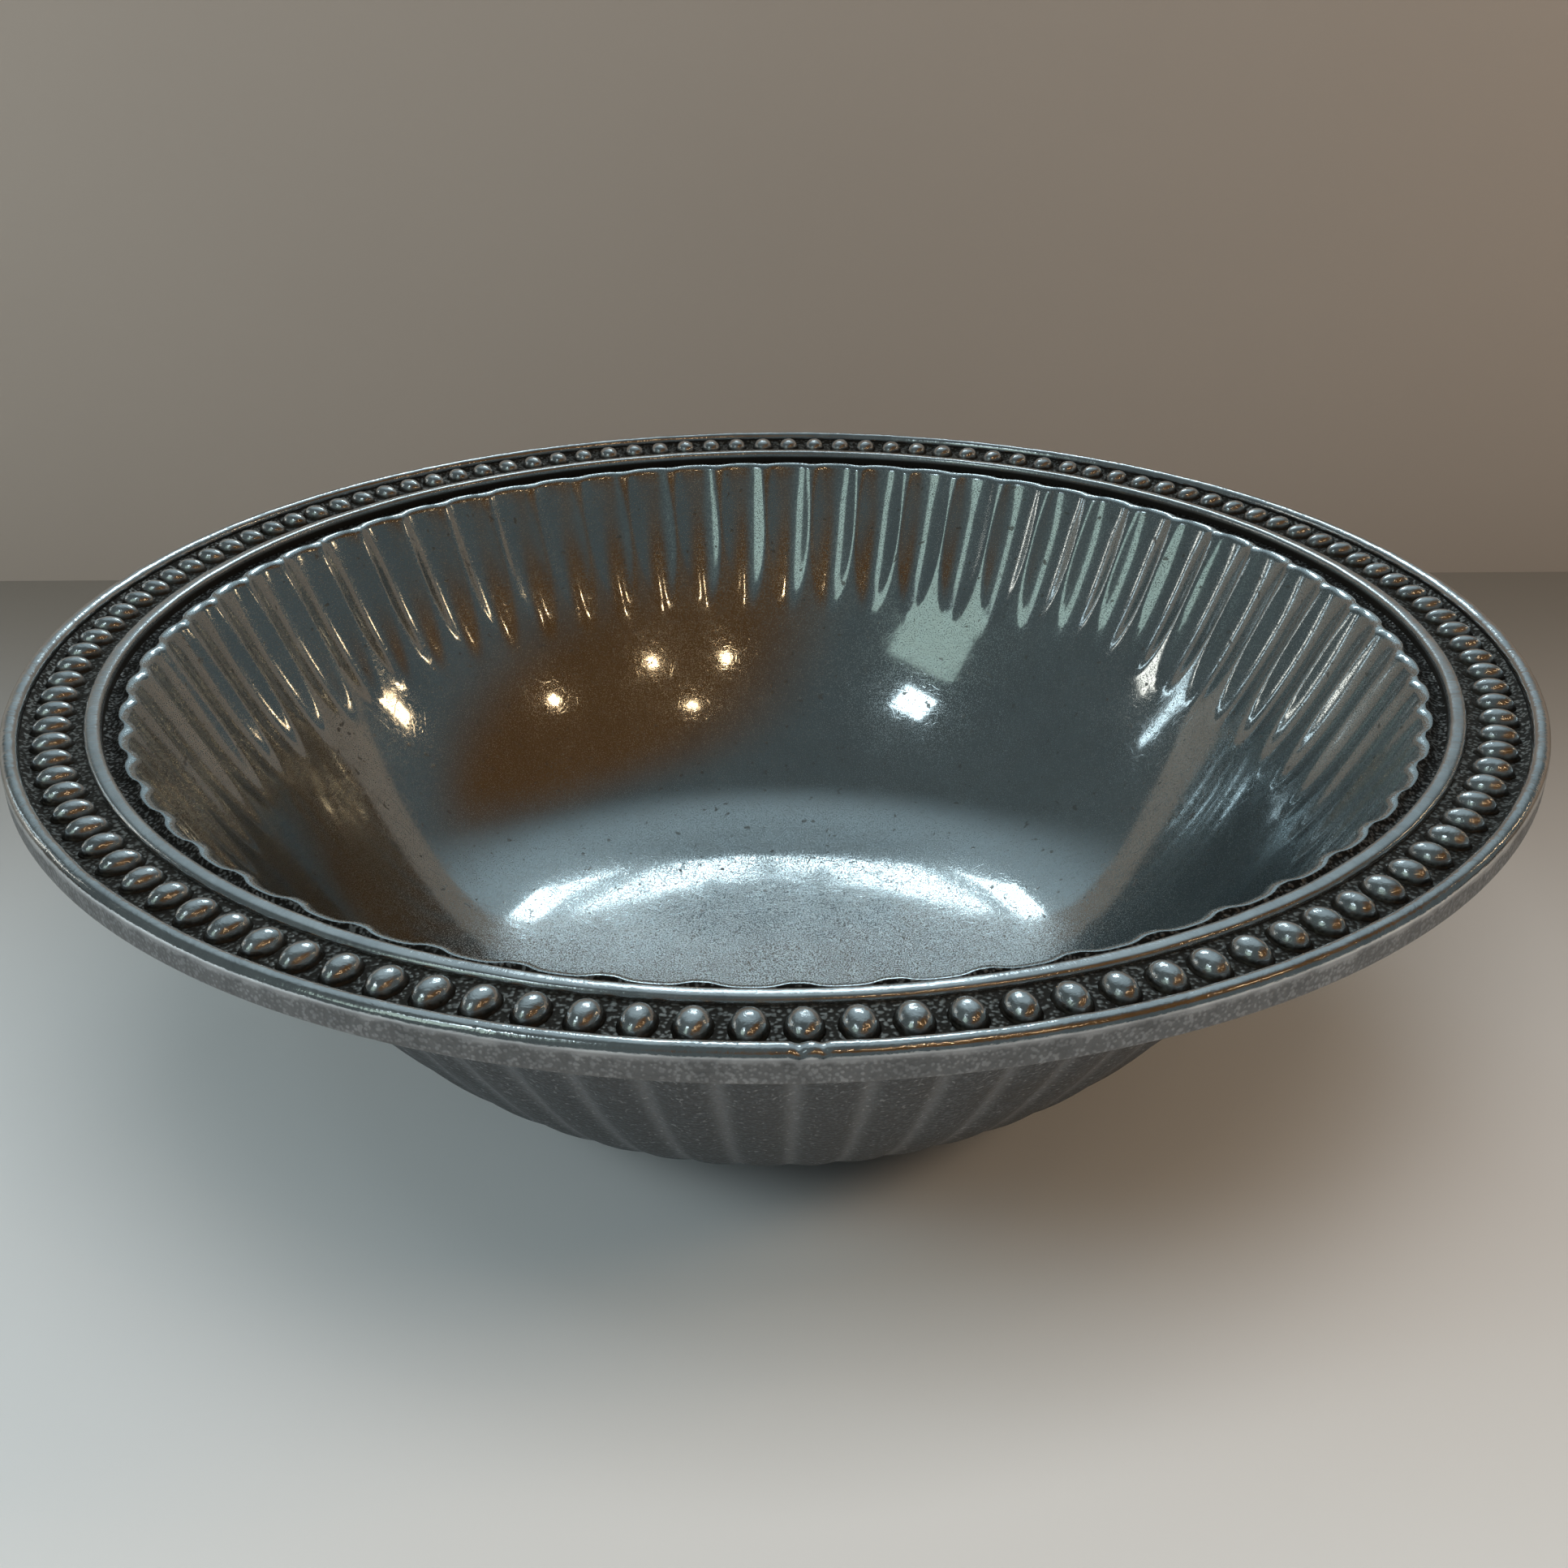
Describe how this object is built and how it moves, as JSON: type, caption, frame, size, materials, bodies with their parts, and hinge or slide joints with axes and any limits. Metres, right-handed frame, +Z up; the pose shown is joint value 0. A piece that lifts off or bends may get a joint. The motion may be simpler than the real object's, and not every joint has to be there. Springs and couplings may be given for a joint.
{
  "type": "serving bowl",
  "caption": "Round cast metal serving bowl, fluted and polished inside, matte and lobed outside, with a flat rim of beads between two raised rails.",
  "frame": {"origin": "middle of the base, on the table", "axes": "+Z up along the bowl's axis of symmetry; +Y points away from the picture's camera, +X to its right"},
  "size_m": [0.355, 0.355, 0.1055],
  "materials": {
    "polished_bowl": "hand-polished inside with fine swirl scratches and small pits, sand-cast and matte outside",
    "channel_floor": "granular as cast, darkened with age",
    "polished_rail": "polished, with fine scratches across the rail",
    "edge_rail": "polished along the crest, satin and lightly worn down the outer face",
    "polished_bead": "polished on top, dark round the foot"
  },
  "bodies": {
    "root": {"bowl_floor": "polished_bowl", "floor_turn": "polished_bowl", "plain_wall": "polished_bowl", "fluted_wall": "polished_bowl", "rim_flange": "channel_floor", "inner_rail": "polished_rail", "outer_rail": "edge_rail", "rim_beads": "polished_bead"}
  },
  "joints": []
}
